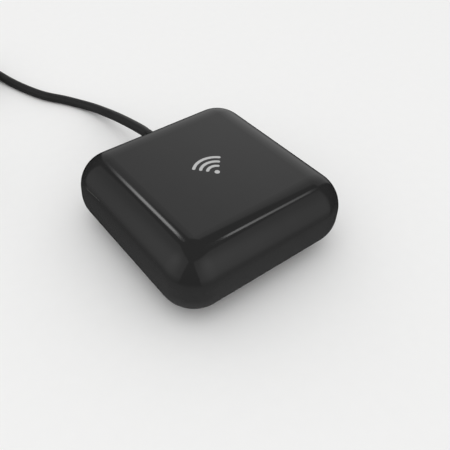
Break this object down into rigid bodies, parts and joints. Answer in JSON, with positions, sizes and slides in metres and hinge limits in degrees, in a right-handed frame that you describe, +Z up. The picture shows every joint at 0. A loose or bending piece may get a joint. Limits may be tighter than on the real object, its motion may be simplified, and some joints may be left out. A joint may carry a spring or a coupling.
{
  "type": "infrared remote hub",
  "caption": "Low glossy rounded-square box on rubber feet that sends infrared remote commands all round, fed by a thin captive lead with a flat plug.",
  "frame": {"origin": "on the floor under the middle of the housing", "axes": "+Z up out of the top face, the cord leaves the rear face along +Y, -Y is the front"},
  "size_m": [0.1138, 0.2052, 0.0259],
  "materials": {
    "housing_gloss": "high gloss, almost black, lets infrared through",
    "foot_rubber": "matt",
    "screw_steel": "zinc plated",
    "board_laminate": "green solder mask",
    "module_laminate": "blue solder mask",
    "shield_metal": "tinned sheet",
    "copper_line": "gold flash",
    "emitter_resin": "clear bluish resin",
    "tinned_lead": "tinned wire",
    "holder_plastic": "moulded",
    "receiver_resin": "dark resin",
    "status_package": "white package",
    "guide_clear": "clear polycarbonate",
    "button_plastic": "fine grain",
    "switch_plastic": "moulded",
    "plunger_plastic": "moulded",
    "header_plastic": "natural nylon",
    "wire_red": "insulation",
    "wire_black": "insulation",
    "cord_jacket": "dark grey soft jacket, satin",
    "relief_plastic": "moulded, satin",
    "capacitor_can": "plain can",
    "chip_black": "epoxy",
    "chip_ceramic": "ceramic",
    "inductor_ferrite": "ferrite",
    "label_film": "blank satin film",
    "tie_strap": "hook and loop strap",
    "plug_metal": "nickel plated",
    "tongue_plastic": "moulded",
    "contact_gold": "gold plated"
  },
  "bodies": {
    "hub": {"top_cover": "housing_gloss", "bottom_case": "housing_gloss", "case_screws": "screw_steel", "main_board": "board_laminate", "wifi_module_board": "module_laminate", "wifi_shield_can": "shield_metal", "wifi_antenna_trace": "copper_line", "ir_emitter_top": "emitter_resin", "ir_emitter_leads": "tinned_lead", "led_holder": "holder_plastic", "ir_receiver": "receiver_resin", "ir_receiver_leads": "tinned_lead", "status_led": "status_package", "light_guide": "guide_clear", "tact_switch_body": "switch_plastic", "tact_switch_legs": "tinned_lead", "power_header": "header_plastic", "power_header_pins": "tinned_lead", "power_plug_housing": "header_plastic", "red_wire": "wire_red", "black_wire": "wire_black", "cord_jacket_end": "cord_jacket", "strain_relief": "relief_plastic", "storage_capacitor": "capacitor_can", "capacitor_base": "chip_black", "voltage_regulator": "chip_black", "power_inductor": "inductor_ferrite", "quartz_crystal": "shield_metal", "driver_transistors": "chip_black", "chip_resistors": "chip_black", "chip_capacitors": "chip_ceramic", "underside_label": "label_film", "cord_lead": "cord_jacket", "cord_coil": "cord_jacket", "cord_tail": "cord_jacket", "cord_tie": "tie_strap", "usb_plug_relief": "relief_plastic", "usb_plug_grip": "relief_plastic", "usb_plug_shell": "plug_metal", "usb_plug_tongue": "tongue_plastic", "usb_plug_contacts": "contact_gold", "rubber_foot_1": "foot_rubber", "rubber_foot_2": "foot_rubber", "rubber_foot_3": "foot_rubber", "rubber_foot_4": "foot_rubber", "ir_emitter_1": "emitter_resin", "ir_emitter_2": "emitter_resin", "ir_emitter_3": "emitter_resin", "ir_emitter_4": "emitter_resin", "ir_emitter_5": "emitter_resin", "ir_emitter_6": "emitter_resin"},
    "reset_button": {"reset_button": "button_plastic"},
    "switch_plunger": {"tact_switch_plunger": "plunger_plastic"}
  },
  "joints": [
    {"name": "reset_press", "type": "slide", "parent": "hub", "child": "reset_button", "axis": [0, -1, 0], "range_m": [0, 0.0003], "stiffness_N_per_m": 1500},
    {"name": "plunger_press", "type": "slide", "parent": "hub", "child": "switch_plunger", "axis": [0, -1, 0], "range_m": [0, 0.0003]}
  ],
  "couplings": [
    {"joint": "plunger_press", "follows": "reset_press", "ratio": 1}
  ]
}
